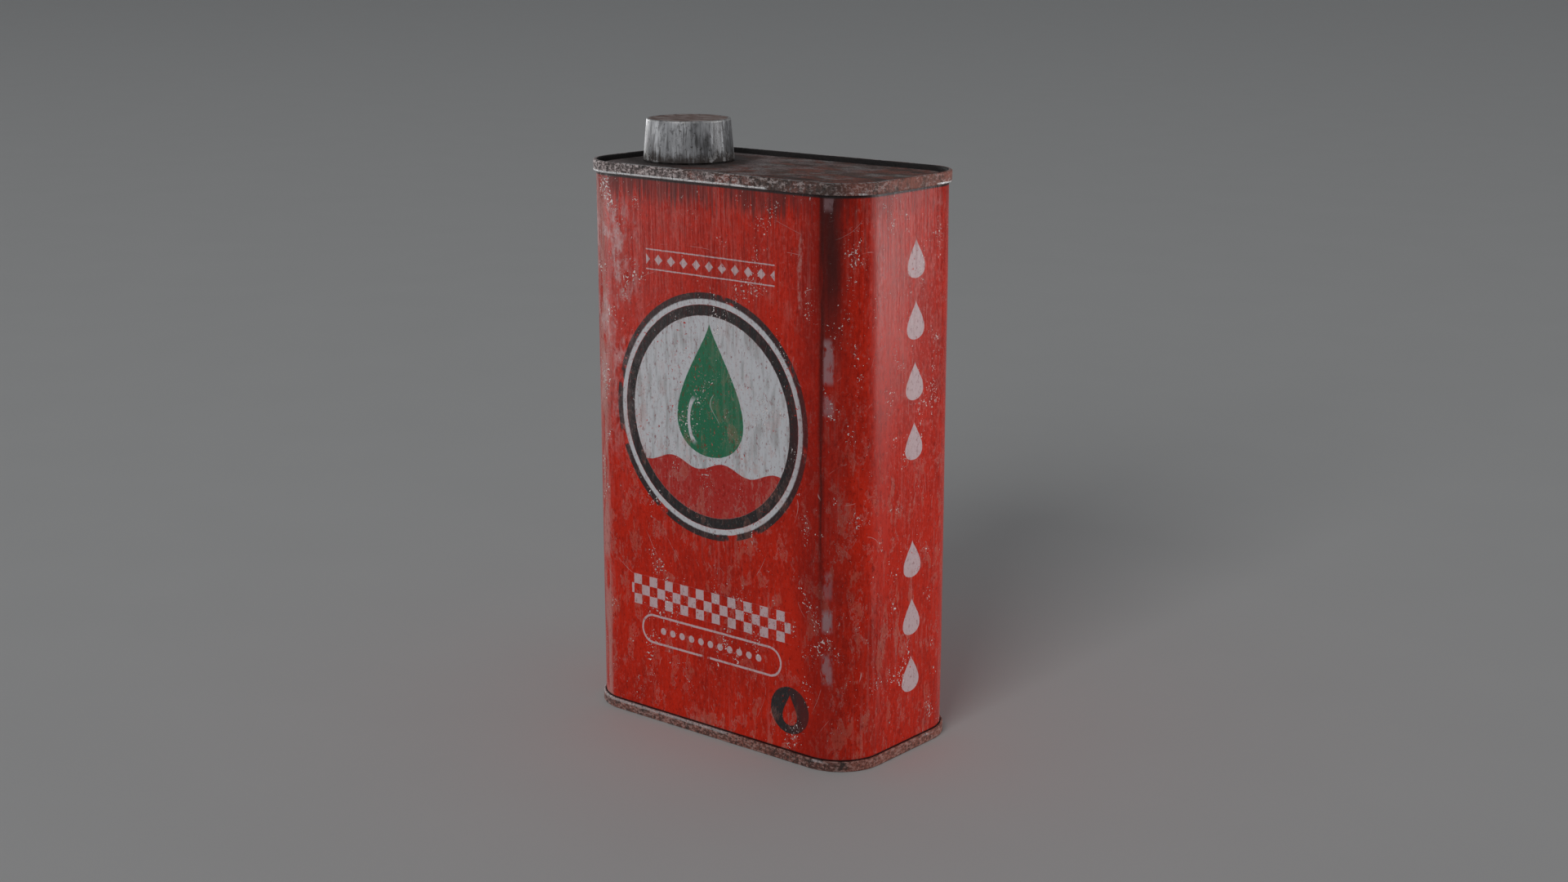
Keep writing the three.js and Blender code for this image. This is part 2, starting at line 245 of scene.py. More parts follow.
def end_seam(band):
    """The end's sheet over the crest, down the outside and up into the cover hook, as [out, depth]."""
    crown = 0.48
    lower = 0.34
    outer = [
        *arc((CHUCK[0] + crown, crown), crown, 180, 270, 6),
        *arc((SEAM[1] - crown, crown), crown, 270, 360, 6),
        *arc((SEAM[1] - lower, band - lower), lower, 0, 90, 5),
        *arc((COVER_HOOK[0] + lower, band - lower), lower, 90, 180, 5),
    ]
    hook_top = 2 * (SHEET + PLAY) + 3 * PLAY
    inner = [
        (COVER_HOOK[0], hook_top), (COVER_HOOK[1], hook_top), (COVER_HOOK[1], band - SHEET),
        (SEAM[0], band - SHEET), (SEAM[0], SHEET + 0.18), (SEAM[0] - 0.18, SHEET),
        (CHUCK[1] + 0.18, SHEET), (CHUCK[1], SHEET + 0.18),
    ]
    return outer, inner


def end_section(band, panel_depth, lip):
    """The whole end from its lip, the panel's edge: groove, seam, and the underside back to the lip."""
    groove_in = CHUCK[0] - GROOVE_WIDTH
    bend = 0.4
    outer, inner = end_seam(band)
    upper = [
        *lip,
        *arc((groove_in - bend, panel_depth + bend), bend, 270, 360, 4),
        *arc((groove_in + bend, GROOVE_DEPTH - bend), bend, 180, 90, 4),
        *arc((CHUCK[0] - bend, GROOVE_DEPTH - bend), bend, 90, 0, 4),
    ]
    under = [
        *arc((CHUCK[0] - bend, GROOVE_DEPTH - bend), bend + SHEET, 0, 90, 4),
        *arc((groove_in + bend, GROOVE_DEPTH - bend), bend + SHEET, 90, 180, 4),
        (groove_in - SHEET, panel_depth + bend),
        (groove_in - bend, panel_depth + SHEET),
        *[(out, depth + SHEET) for out, depth in reversed(lip)],
    ]
    return [*upper, *outer, *inner, *under]


def worn_seam(x, y, z):
    """Seams are a little uneven, and only ever inwards."""
    return -0.05 - 0.05 * wave(x, y, z, 16.0, 3.1) - 0.03 * wave(x, y, z, 5.0, 8.7)


def body_dent(x, y, z):
    """Shallow hollows in the wide faces and a slight belly in the +X one, fading out at the seams.
    The -X face stays flat, because the side seam stiffens it."""
    fade = max(0.0, min(1.0, (z - FOOT_BAND) / 25, (RIM - TOP_BAND - z) / 25))
    flat_x = max(0.0, 1 - (x / (HALF_WIDTH - 5)) ** 4)
    flat_y = max(0.0, 1 - (y / (HALF_DEPTH - 3)) ** 2)
    if x < 4 - HALF_WIDTH:
        return 0.0
    if x > HALF_WIDTH - 4:
        return fade * flat_y * (0.5 + 0.12 * wave(x, y, z, 30.0, 1.7))
    hollow = 0.3 + 0.22 * wave(x, y, z, 38.0, 1.7) + 0.08 * wave(x, y, z, 15.0, 5.2)
    return -fade * flat_x * max(0.0, hollow)


# --- Pieces -----------------------------------------------------------------------------


def build_body(material):
    """The printed sheet, with its top and bottom edges hooked into the seams."""
    rows = 46
    low, high = FOOT_BAND - 1.0, RIM - TOP_BAND + 1.0
    wall = [(WALL[1], high + (low - high) * i / rows) for i in range(rows + 1)]
    section = [(out, RIM - depth) for out, depth in body_hook(TOP_BAND)]
    section += wall
    section += [(out, depth) for out, depth in reversed(body_hook(FOOT_BAND))]
    section += [(WALL[0], z) for _, z in reversed(wall)]
    bm = bmesh.new()
    add_rings(bm, around_body(section, body_dent), closed=True)
    return finish_piece(bm, "printed_body", "can", "body_shell", material)


def build_top(material):
    """The top end, with the collar that stands inside the neck."""
    lip = [(-6.0, PANEL_DEPTH)]
    section = [(out, RIM - depth) for out, depth in end_section(TOP_BAND, PANEL_DEPTH, lip)]
    collar = (NECK_ROOT - 2 * SHEET - PLAY, NECK_ROOT - SHEET - PLAY)
    bm = bmesh.new()
    edge = add_rings(bm, around_body(section, worn_seam), closed=False)
    ring = add_rings(bm, turned([
        (collar[1] + 0.3, PANEL), (collar[1] + 0.08, PANEL + 0.08), (collar[1], PANEL + 0.3),
        (collar[1], PANEL + COLLAR_HEIGHT),
        (collar[0], PANEL + COLLAR_HEIGHT), (collar[0], PANEL - SHEET),
    ]), closed=False)
    for outer, inner in ((edge[0], ring[0]), (edge[-1], ring[-1])):
        level(outer)
        bmesh.ops.triangle_fill(bm, use_beauty=True, edges=ring_edges(outer) + ring_edges(inner))
    return finish_piece(bm, "rusted_top", "can", "top_end", material)


def build_bottom(material):
    """The bottom end, with a step in its panel."""
    middle = FOOT_PANEL_DEPTH + FOOT_STEP
    lip = [
        (FOOT_STEP_AT - 1.0, middle), (FOOT_STEP_AT, middle),
        (FOOT_STEP_AT + FOOT_STEP, FOOT_PANEL_DEPTH),
    ]
    bm = bmesh.new()
    section = end_section(FOOT_BAND, FOOT_PANEL_DEPTH, lip)
    close_ends(bm, add_rings(bm, around_body(section, worn_seam), closed=False))
    return finish_piece(bm, "rusted_bottom", "can", "bottom_end", material)


def thread_rise(z, turn, low, high):
    """The rolled thread's rise from root, 0, to crest, 1. Its first and last millimetre fade out."""
    phase = 2 * math.pi * (z - PANEL) / THREAD_PITCH - turn
    return smooth(z - low) * smooth(high - z) * (1 + math.cos(phase)) / 2


def rows_between(low, high, spacing=0.28):
    """Heights from low to high, about this far apart."""
    count = round((high - low) / spacing)
    return [low + (high - low) * i / count for i in range(count + 1)]


def build_neck(material):
    """The neck: a flange, a rolled thread and a lip curled inwards."""
    foot, top = NECK_LOW.z, NECK_HIGH.z
    flange = (NECK_HIGH.x - NECK_LOW.x) / 2
    inner = NECK_ROOT - SHEET
    low, high = foot + 1.2, top - 1.4
    rows = rows_between(low, high)
    lip = 0.55
    outline = [(inner, foot), (flange, foot), (flange, foot + SHEET), (NECK_ROOT + 0.3, foot + SHEET)]
    outline += arc((NECK_ROOT + 0.3, foot + SHEET + 0.3), 0.3, 270, 180, 4)
    outline += [(NECK_ROOT, z) for z in rows]
    outline += arc((NECK_ROOT - lip, top - lip), lip, 0, 180, 12)
    outline += [(NECK_ROOT - 2 * lip, top - 0.9), (NECK_ROOT - 2 * lip + SHEET, top - 0.9)]
    outline += arc((NECK_ROOT - lip, top - lip), lip - SHEET, 180, 0, 8)
    outline += [(inner, z) for z in reversed(rows)]

    def push(radius, z, turn):
        on_wall = abs(radius - NECK_ROOT) < SHEET + PLAY
        return THREAD_HEIGHT * thread_rise(z, turn, low, high) if on_wall else 0.0

    bm = bmesh.new()
    add_rings(bm, turned(outline, push), closed=True)
    return finish_piece(bm, "threaded_neck", "can", "filler_neck", material, sharp=50)


def build_neck_solder(material):
    """An uneven fillet round the neck's flange."""
    low, high = box_mm("neck_solder")
    outer = (high.x - low.x) / 2
    inner = (NECK_HIGH.x - NECK_LOW.x) / 2 + PLAY
    width = outer - inner
    outline = [(inner, low.z), (outer, low.z)]
    for t in (0.25, 0.5, 0.75, 1.0):
        outline.append((inner + width * (1 - t) ** 1.6, low.z + (high.z - low.z) * t))

    def push(radius, z, turn):
        lump = abs(wave(math.cos(turn) * 9, math.sin(turn) * 9, z, 3.0, 2.0))
        return -0.25 * lump * (radius - inner)

    bm = bmesh.new()
    add_rings(bm, turned(outline, push), closed=True)
    return finish_piece(bm, "neck_solder_fillet", "can", "neck_solder", material)


def build_cap(material):
    """The outer shell: a face sunk a little inside a rounded rim, a smooth taper and a hem turned in."""
    foot, top = CAP_LOW.z, CAP_HIGH.z
    slope = (CAP_FOOT_RADIUS - CAP_TOP_RADIUS) / (top - foot)
    rim = 0.42
    curl = 0.3
    hem = CAP_FOOT_RADIUS - 1.05
    sunk = 0.22
    middle = 2.0

    def side(z):
        return CAP_TOP_RADIUS + slope * (top - z) - 0.02

    def push(radius, z, turn):
        if radius <= middle:
            return 0.0
        return -0.03 * (1 + wave(radius * math.cos(turn), radius * math.sin(turn), z, 6.0, 4.0))

    outline = [(middle, top - SHEET - sunk), (side(top) - 1.5, top - SHEET - sunk)]
    outline += [(side(top) - 1.0, top - SHEET - 0.1), (side(top) - 0.6, top - SHEET - 0.3)]
    outline += [(side(z) - SHEET, z) for z in rows_between(foot + SHEET + 0.1, top - 1.2, 1.5)][::-1]
    outline += [(side(foot) - SHEET - 0.1, foot + SHEET), (hem, foot + SHEET), (hem, foot)]
    outline += arc((side(foot) - curl, foot + curl), curl, 270, 360, 5)
    outline += [(side(z), z) for z in rows_between(foot + 0.8, top - 0.8, 1.2)]
    outline += arc((side(top) - rim, top - rim), rim, 0, 120, 7)
    outline += [(side(top) - 1.1, top - sunk * 0.6), (side(top) - 1.6, top - sunk), (middle, top - sunk)]
    bm = bmesh.new()
    close_ends(bm, add_rings(bm, turned(outline, push), closed=False))
    return finish_piece(bm, "cap_outer_shell", "cap", "cap_shell", material)


def build_insert(material):
    """The inner shell, whose rolled thread runs half a turn from the neck's."""
    low_corner, high_corner = box_mm("cap_insert")
    foot, top = low_corner.z, high_corner.z
    flange = (high_corner.x - low_corner.x) / 2
    root = NECK_ROOT + THREAD_HEIGHT + THREAD_GAP
    low, high = foot + SHEET + PLAY, top - SHEET - 1.3
    rows = rows_between(low, high)
    middle = 2.0
    outline = [(middle, top - SHEET), (root - 0.3, top - SHEET), (root, top - SHEET - 0.3)]
    outline += [(root, z) for z in reversed(rows)]
    outline += [(root, foot + 0.1), (root + 0.1, foot), (flange, foot), (flange, foot + SHEET)]
    outline += [(root + SHEET, z) for z in rows]
    outline += arc((root + SHEET - 0.4, top - 0.4), 0.4, 0, 90, 4)
    outline += [(middle, top)]

    def push(radius, z, turn):
        on_wall = abs(radius - root) < SHEET + PLAY and low < z < high
        return -THREAD_HEIGHT * thread_rise(z, turn + math.pi, low, high) if on_wall else 0.0

    bm = bmesh.new()
    close_ends(bm, add_rings(bm, turned(outline, push), closed=False))
    return finish_piece(
        bm, "cap_threaded_insert", "cap", "cap_insert", material, sharp=50
    )


def build_facing(material):
    """The foil disc, with the ring that the neck's lip has pressed into it."""
    low, high = box_mm("liner_facing")
    radius = (high.x - low.x) / 2
    press = [NECK_ROOT - 0.55 + d for d in (-0.8, -0.45, 0.0, 0.45, 0.8)]
    depth = [0.0, 0.035, 0.05, 0.035, 0.0]
    outline = [(1.5, low.z), *[(r, low.z + d) for r, d in zip(press, depth)], (radius, low.z)]
    outline += [(radius, high.z), (1.5, high.z)]
    bm = bmesh.new()
    close_ends(bm, add_rings(bm, turned(outline), closed=False))
    return finish_piece(bm, "foil_disc", "liner", "liner_facing", material)


def build_liner(material):
    low, high = box_mm("cap_liner")
    radius = (high.x - low.x) / 2
    edge = 0.2
    outline = [(1.5, low.z), (radius - edge, low.z)]
    outline += arc((radius - edge, low.z + edge), edge, 270, 360, 3)
    outline += arc((radius - edge, high.z - edge), edge, 0, 90, 3)
    outline += [(1.5, high.z)]
    bm = bmesh.new()
    close_ends(bm, add_rings(bm, turned(outline), closed=False))
    return finish_piece(bm, "board_disc", "liner", "cap_liner", material)


def build_side_solder(material):
    """A low bead wiped along the side seam, uneven in width and height."""
    low, high = box_mm("side_seam_solder")
    count, across = 120, 10
    face = -HALF_WIDTH - PLAY * 0.2
    rise = face - low.x
    bm = bmesh.new()
    rings = []
    for k in range(count + 1):
        z = low.z + (high.z - low.z) * k / count
        half = (high.y - low.y) / 2 * (0.86 + 0.13 * wave(0, 0, z, 7.0, 6.0))
        middle = 0.08 * wave(0, 0, z, 12.0, 9.0)
        height = rise * (0.8 + 0.18 * wave(0, 0, z, 5.0, 3.0))
        profile = []
        for m in range(across + 1):
            t = -1 + 2 * m / across
            y = min(high.y, max(low.y, middle + half * t))
            profile.append((face - height * max(0.0, 1 - t * t) ** 0.7, y, z))
        profile.append((face + SHEET * 0.5, half * 0.4, z))
        profile.append((face + SHEET * 0.5, -half * 0.4, z))
        rings.append(profile)
    close_ends(bm, add_rings(bm, rings, closed=False))
    return finish_piece(bm, "side_solder_bead", "can", "side_seam_solder", material)


# --- Procedural finishes ----------------------------------------------------------------


class Field:
    """A number that varies over a surface, with sums and products as shader nodes."""

    def __init__(self, finish, socket):
        self.finish = finish
        self.socket = socket

    def math(self, operation, *others, clamp=False):
        node = self.finish.node("ShaderNodeMath")
        node.operation = operation
        node.use_clamp = clamp
        for place, value in enumerate((self, *others)):
            self.finish.feed(node.inputs[place], value)
        return Field(self.finish, node.outputs[0])

    def __add__(self, other):
        return self.math("ADD", other)

    def __radd__(self, other):
        return self.math("ADD", other)

    def __sub__(self, other):
        return self.math("SUBTRACT", other)

    def __rsub__(self, other):
        return (self * -1.0) + other

    def __mul__(self, other):
        return self.math("MULTIPLY", other)

    def __truediv__(self, other):
        return self.math("DIVIDE", other)

    def __pow__(self, other):
        return self.math("POWER", other)

    def abs(self):
        return self.math("ABSOLUTE")

    def least(self, other):
        return self.math("MINIMUM", other)

    def most(self, other):
        return self.math("MAXIMUM", other)

    def clamp(self):
        return self.math("ADD", 0.0, clamp=True)

    def repeat(self, length):
        """Folds the field into steps of this length, from minus half to plus half."""
        return self.math("FLOORED_MODULO", length) - length / 2

    def rise(self, low, high):
        """0 below low, 1 above high and smooth between. It falls where low is above high."""
        node = self.finish.node("ShaderNodeMapRange")
        node.interpolation_type = "SMOOTHSTEP"
        self.finish.feed(node.inputs["Value"], self)
        if low < high:
            ends = (low, high, 0.0, 1.0)
        else:
            ends = (high, low, 1.0, 0.0)
        for name, value in zip(("From Min", "From Max", "To Min", "To Max"), ends):
            node.inputs[name].default_value = value
        return Field(self.finish, node.outputs["Result"])

    def within(self, low, high, soft):
        return self.rise(low - soft, low + soft) * self.rise(high + soft, high - soft)


class Finish:
    """A material under construction. Places are in millimetres in the tin's own frame."""

    def __init__(self, name):
        self.material = bpy.data.materials.new(name)
        self.material.use_nodes = True
        self.tree = self.material.node_tree
        self.shader = self.tree.nodes["Principled BSDF"]
        scale = self.node("ShaderNodeVectorMath")
        scale.operation = "SCALE"
        self.tree.links.new(self.node("ShaderNodeTexCoord").outputs["Object"], scale.inputs[0])
        scale.inputs["Scale"].default_value = 1 / MM
        self.place = scale.outputs[0]
        split = self.node("ShaderNodeSeparateXYZ")
        self.tree.links.new(self.place, split.inputs[0])
        self.x, self.y, self.z = (Field(self, out) for out in split.outputs)

    def outside(self):
        """How far a place is outside the body's upright faces."""
        over_x = (self.x.abs() - (HALF_WIDTH - CORNER)).most(0.0)
        over_y = (self.y.abs() - (HALF_DEPTH - CORNER)).most(0.0)
        return distance(over_x, over_y) - CORNER

    def round_corner(self, side):
        """The way along the girth past the end of the flat label face. Side is 1 for +X and -1 for -X."""
        across = self.x * side - (HALF_WIDTH - CORNER)
        over_x = across.most(0.0)
        over_y = (self.y * -1.0 - (HALF_DEPTH - CORNER)).most(0.0)
        past = (self.y + (HALF_DEPTH - CORNER)).most(0.0) * over_x.rise(0.0, 1.0)
        return across.least(0.0) + over_x.math("ARCTAN2", over_y) * CORNER + past

    def gloss(self, level):
        """Sets the same specular level all over."""
        self.shader.inputs["Specular IOR Level"].default_value = level

    def node(self, kind):
        return self.tree.nodes.new(kind)

    def feed(self, socket, value):
        """Links a field or a socket to a socket, or sets a plain value on it."""
        if isinstance(value, Field):
            self.tree.links.new(value.socket, socket)
        elif isinstance(value, bpy.types.NodeSocket):
            self.tree.links.new(value, socket)
        else:
            socket.default_value = value

    def stretched(self, size, seed):
        """The place divided by size, one number or (x, y, z), and moved by the seed."""
        sizes = size if isinstance(size, tuple) else (size, size, size)
        node = self.node("ShaderNodeVectorMath")
        node.operation = "MULTIPLY_ADD"
        self.tree.links.new(self.place, node.inputs[0])
        node.inputs[1].default_value = [1 / s for s in sizes]
        node.inputs[2].default_value = (seed * 3.7, seed * 1.3 + 5, seed * 2.9)
        return node.outputs[0]

    def facing_front(self, low, high):
        """0 to 1 as a place goes from low to high towards the label face, from the tin's middle."""
        return (self.y * -1.0).rise(low, high)

    def noise(self, size, seed, detail=3.0, rough=0.5, bend=0.0):
        """Noise between 0 and 1, and mostly near 0.5, with bumps of this size."""
        node = self.node("ShaderNodeTexNoise")
        self.tree.links.new(self.stretched(size, seed), node.inputs["Vector"])
        node.inputs["Scale"].default_value = 1.0
        node.inputs["Detail"].default_value = detail
        node.inputs["Roughness"].default_value = rough
        node.inputs["Distortion"].default_value = bend
        return Field(self, node.outputs[0])

    def creases(self, size, seed):
        """The distance from the nearest edge between cells of this size."""
        node = self.node("ShaderNodeTexVoronoi")
        node.feature = "DISTANCE_TO_EDGE"
        self.tree.links.new(self.stretched(size, seed), node.inputs["Vector"])
        node.inputs["Scale"].default_value = 1.0
        return Field(self, node.outputs["Distance"])

    def mix(self, below, above, share):
        """A colour with this share of another one over it."""
        node = self.node("ShaderNodeMix")
        node.data_type = "RGBA"
        self.feed(node.inputs["Factor"], share)
        for name, colour in (("A", below), ("B", above)):
            socket = next(s for s in node.inputs if s.name == name and s.type == "RGBA")
            self.feed(socket, (*colour, 1.0) if isinstance(colour, tuple) else colour)
        return next(s for s in node.outputs if s.type == "RGBA")

    def finish(self, colour, roughness, metal, height=None):
        """Feeds the shader. The height is a relief in millimetres."""
        self.feed(self.shader.inputs["Base Color"], colour)
        self.feed(self.shader.inputs["Roughness"], roughness)
        self.feed(self.shader.inputs["Metallic"], metal)
        if height is not None:
            bump = self.node("ShaderNodeBump")
            bump.inputs["Distance"].default_value = MM
            self.feed(bump.inputs["Height"], height)
            self.tree.links.new(bump.outputs[0], self.shader.inputs["Normal"])
        return self.material


def distance(a, b):
    """The length of the vector (a, b), for fields."""
    return (a * a + b * b) ** 0.5


def drop(across, up, half_width, height):
    """A teardrop: its round end at up = 0 and its point at up = height."""
    t = (up / height).clamp()
    fattest = 0.345
    width = (t ** 0.5) * ((1.0 - t) ** 1.3) * (half_width / fattest)
    return (width - across.abs()).rise(-0.1, 0.15)


RED = (0.6, 0.018, 0.003)
DEEP_RED = (0.2, 0.004, 0.001)
FILM = (0.52, 0.33, 0.3)  # the dull dusty film on worn print
WARM_FILM = (0.5, 0.17, 0.12)
MILKY = (0.64, 0.46, 0.46)
PRINT_WHITE = (0.6, 0.61, 0.64)
PRINT_GREY = (0.42, 0.42, 0.43)
PRINT_PINK = (0.62, 0.48, 0.5)
PRINT_BLACK = (0.027, 0.026, 0.027)
PRINT_GREEN = (0.022, 0.17, 0.085)
PRINT_RED = (0.46, 0.026, 0.02)
STAIN = (0.04, 0.004, 0.003)
BARE = (0.4, 0.27, 0.29)
# Near white, for raised chips and scratches, partly as painted glints
CHIP_AND_GLINT = (0.9, 0.82, 0.8)
# Near black, for soot and dark flakes, and for painted shade in the crevices at the seams
SOOT_AND_SHADE = (0.012, 0.009, 0.009)

# The print, in millimetres. Heights are above the foot, and widths from the middle of the label
SOFT = 0.12  # half the width of a printed edge
ROUNDEL_HEIGHT = 104.2
OUTER_RING = (36.8, 38.9)
PALE_RING = (35.2, 37.0)
INNER_RING = (31.8, 35.1)
DIAMOND_HEIGHT = 151.1
DIAMOND_STEP = 5.2
DIAMOND_ROW = 26.0  # half its length
CHEQUERS = (37.9, 47.9)
CHEQUER_SIZE = 3.33
CHEQUER_ROW = 33.3
CAPSULE_HEIGHT = 30.6
CAPSULE_ROW = 24.4
CAPSULE_RADIUS = (4.25, 4.95)
DOT_STEP = 4.0
DOT_ROW = 22.0
MARK_AT = (32.0, 16.4)
SIDE_DROP_STEP = 18.6
SIDE_DROPS = (16.5, 164.5)
SIDE_GAP = (72.5, 90.0)  # where one drop is left out

# Heights where the paint on the front corner is worn to the metal, and how far
WORN_SPOTS = (
    (172.0, 176.0, 0.45), (121.0, 134.0, 0.8), (111.5, 117.0, 0.6),
    (55.0, 63.0, 0.4), (44.5, 51.0, 0.9), (28.0, 37.0, 0.7),
)


def print_roundel(f, ground, kept, gaps, x, z):
    """A pale disc in dark and pale rings, with a green oil drop over a red wave.
    Gives the colour, and where the rings are black."""
    up = z - ROUNDEL_HEIGHT
    radius = distance(x, up)
    outer_ring = kept * radius.within(*OUTER_RING, SOFT) * gaps.rise(0.36, 0.42) * 0.93
    inner_ring = kept * radius.within(*INNER_RING, SOFT)
    colour = f.mix(ground, PRINT_BLACK, outer_ring)
    colour = f.mix(colour, PRINT_WHITE, kept * radius.within(*PALE_RING, SOFT))
    colour = f.mix(colour, PRINT_BLACK, inner_ring)
    disc = kept * radius.rise(INNER_RING[0] + SOFT, INNER_RING[0] - SOFT)
    greyer = f.noise((1.6, 1.6, 9.0), 34, detail=4.0).rise(0.45, 0.7)
    colour = f.mix(colour, f.mix(PRINT_WHITE, PRINT_GREY, greyer), disc)
    swell = ((x * 0.3).math("SINE") * 1.4 - 15.5 - up).rise(-SOFT, SOFT)
    colour = f.mix(colour, PRINT_RED, disc * swell)
    colour = f.mix(colour, PRINT_GREEN, disc * drop(x, up + 12.5, 13.5, 42.0))
    shine = distance(x + 4.8, (up + 1.5) * 0.5).within(3.4, 4.5, SOFT)
    shine = shine * x.rise(-4.8, -6.6) * up.within(-8.5, 5.0, 1.5)
    return f.mix(colour, PRINT_WHITE, disc * shine), outer_ring.most(inner_ring)


def print_marks(gaps, x, z):
    """The row of diamonds between two rules, the chequer strip and the capsule with its dots."""
    above = (z - DIAMOND_HEIGHT).abs()
    diamonds = ((x + DIAMOND_STEP / 2).repeat(DIAMOND_STEP).abs() + above).rise(1.8, 1.5)
    rules = above.within(2.9, 3.3, 0.08)
    marks = x.abs().rise(DIAMOND_ROW + 0.1, DIAMOND_ROW - 0.1) * diamonds.most(rules)
    pitch = math.pi / CHEQUER_SIZE
    chequers = ((x * pitch).math("SINE") * ((z - CHEQUERS[0]) * pitch).math("SINE")).rise(-0.03, 0.03)
    strip = z.within(*CHEQUERS, 0.06) * (x + 1.0).abs().rise(CHEQUER_ROW + 0.1, CHEQUER_ROW - 0.1)
    middle = (x + 0.7).abs()
    along = (middle - CAPSULE_ROW).most(0.0)
    capsule = distance(along, z - CAPSULE_HEIGHT).within(*CAPSULE_RADIUS, 0.08) * gaps.rise(0.3, 0.34)
    dots = distance((x + 2.7).repeat(DOT_STEP), z - CAPSULE_HEIGHT).rise(1.25, 1.05)
    dots = dots * middle.rise(DOT_ROW + 0.2, DOT_ROW - 0.2)
    return marks.most(chequers * strip).most(capsule).most(dots)


def print_on_front(f, ground):
    """The generic label. Gives the colour, and where the print is black."""
    front = f.facing_front(HALF_DEPTH - 1.4, HALF_DEPTH - 0.9)
    fleck = f.noise(0.9, 31, detail=3.0, rough=0.6)
    rubbed = f.noise((9.0, 9.0, 14.0), 32, detail=4.0)
    kept = front * (fleck + rubbed * 0.35).rise(0.91, 0.84)
    x, z = f.x + (fleck - 0.5) * 0.3, f.z + (f.noise(1.3, 33) - 0.5) * 0.3
    gaps = f.noise((11.0, 11.0, 16.0), 21, detail=4.0, rough=0.6)
    colour, rings = print_roundel(f, ground, kept, gaps, x, z)
    colour = f.mix(colour, PRINT_PINK, kept * print_marks(gaps, x, z) * 0.92)
    across, up = x - MARK_AT[0], z - MARK_AT[1]
    hole = 1.0 - drop(across, up + 4.8, 2.9, 10.0)
    mark = kept * distance(across, up).rise(7.7, 7.4) * hole
    return f.mix(colour, PRINT_BLACK, mark), rings.most(mark)


def print_on_side(f, ground):
    """A column of pale drops on the narrow side, with one left out."""
    side = f.x.rise(HALF_WIDTH - 1.4, HALF_WIDTH - 0.9)
    kept = (f.noise(0.9, 41, detail=3.0) + f.noise(8.0, 42) * 0.35).rise(0.91, 0.84)
    across = f.y - 2.3 + (f.noise(1.3, 43) - 0.5) * 0.4
    up = (f.z - 15.9).repeat(SIDE_DROP_STEP) + SIDE_DROP_STEP / 2 - 3.6
    rows = f.z.within(*SIDE_DROPS, 0.3) * (1.0 - f.z.within(*SIDE_GAP, 0.3))
    return f.mix(ground, PRINT_PINK, side * kept * drop(across, up, 4.4, 11.8) * rows * 0.95)


class PaintWear:
    """The noises and places that the layers of wear on the print share."""

    def __init__(self, f):
        self.down = (RIM - TOP_BAND) - f.z
        self.up = f.z - FOOT_BAND
        self.corner = f.round_corner(1.0)
        self.cloud = f.noise((18.0, 18.0, 34.0), 1, detail=4.0)
        self.streak = f.noise((1.2, 1.2, 30.0), 5, detail=4.0, rough=0.7)
        self.hairline = f.noise((0.6, 0.6, 26.0), 12, detail=3.0, rough=0.6)
        self.speckle = f.noise((1.0, 1.0, 1.8), 11, detail=5.0, rough=0.75)
        self.hazy = f.noise((14.0, 14.0, 34.0), 6, detail=4.0).rise(0.42, 0.66)
        self.wander = (f.noise((3.0, 3.0, 22.0), 14, detail=3.0) - 0.5) * 2.4
        self.low = f.z.rise(130.0, 70.0) * 0.75 + 0.25


def faded(f, wear, colour):
    """Upright streaks of dull film, paler at the upper left where they are partly painted sheen, a pale
    left edge of worn film and painted highlight, and milky smears beside it. Gives the streaked film with
    its sheen, and the milky zone too.
    """
    left_corner = f.round_corner(-1.0)
    near_front = f.facing_front(0.0, 10.0)
    # Partly painted sheen: the pale film is stronger and wider at the upper left
    left = f.x.rise(-34.0, -50.0) * f.z.rise(50.0, 130.0)
    film_and_sheen = wear.streak.rise(0.48, 0.64) * (wear.hazy * 0.3 + left * 0.7) + left * wear.hazy * 0.8
    film_and_sheen = film_and_sheen.clamp()
    colour = f.mix(colour, FILM, film_and_sheen * 0.45)
    # A pale strip down the left front corner: worn film, and partly a painted highlight
    edge = left_corner.within(3.0, 8.5, 2.0) * near_front
    patchy = f.noise((3.0, 3.0, 16.0), 8, detail=4.0).rise(0.4, 0.56)
    colour = f.mix(colour, FILM, edge * patchy * 0.55)
    milky = left_corner.rise(-16.0, -2.0) * near_front * f.z.rise(60.0, 150.0)
    smear = f.noise((5.0, 5.0, 10.0), 26, detail=5.0, rough=0.66, bend=0.5).rise(0.46, 0.6)
    dust = f.noise((1.0, 1.0, 1.5), 27, detail=4.0, rough=0.7).rise(0.36, 0.6) * 0.6 + 0.4
    colour = f.mix(colour, MILKY, milky * smear * dust * wear.down.rise(4.0, 14.0) * 0.7)
    return colour, film_and_sheen, milky


def patched(f, wear, colour, black):
    """Map-like patches with speckled edges and pale outlines, mostly on the lower half."""
    speckle = wear.speckle
    land = f.noise((3.6, 3.6, 8.0), 9, detail=5.0, rough=0.66, bend=0.3)
    patches = (land + (speckle - 0.5) * 0.3 + (wear.hazy - 0.5) * 0.05).rise(0.55, 0.63) * wear.low
    outline = (land - 0.57).abs().rise(0.016, 0.006) * f.noise(13.0, 10).rise(0.4, 0.54)
    colour = f.mix(colour, WARM_FILM, patches * 0.32)
    colour = f.mix(colour, FILM, outline * wear.low * 0.28)
    colour = f.mix(colour, FILM, speckle.rise(0.55, 0.72) * wear.cloud.rise(0.3, 0.6) * 0.3)
    colour = f.mix(colour, DEEP_RED, speckle.rise(0.46, 0.34) * 0.65)
    return f.mix(colour, PRINT_BLACK, black * speckle.rise(0.66, 0.54) * 0.65), patches


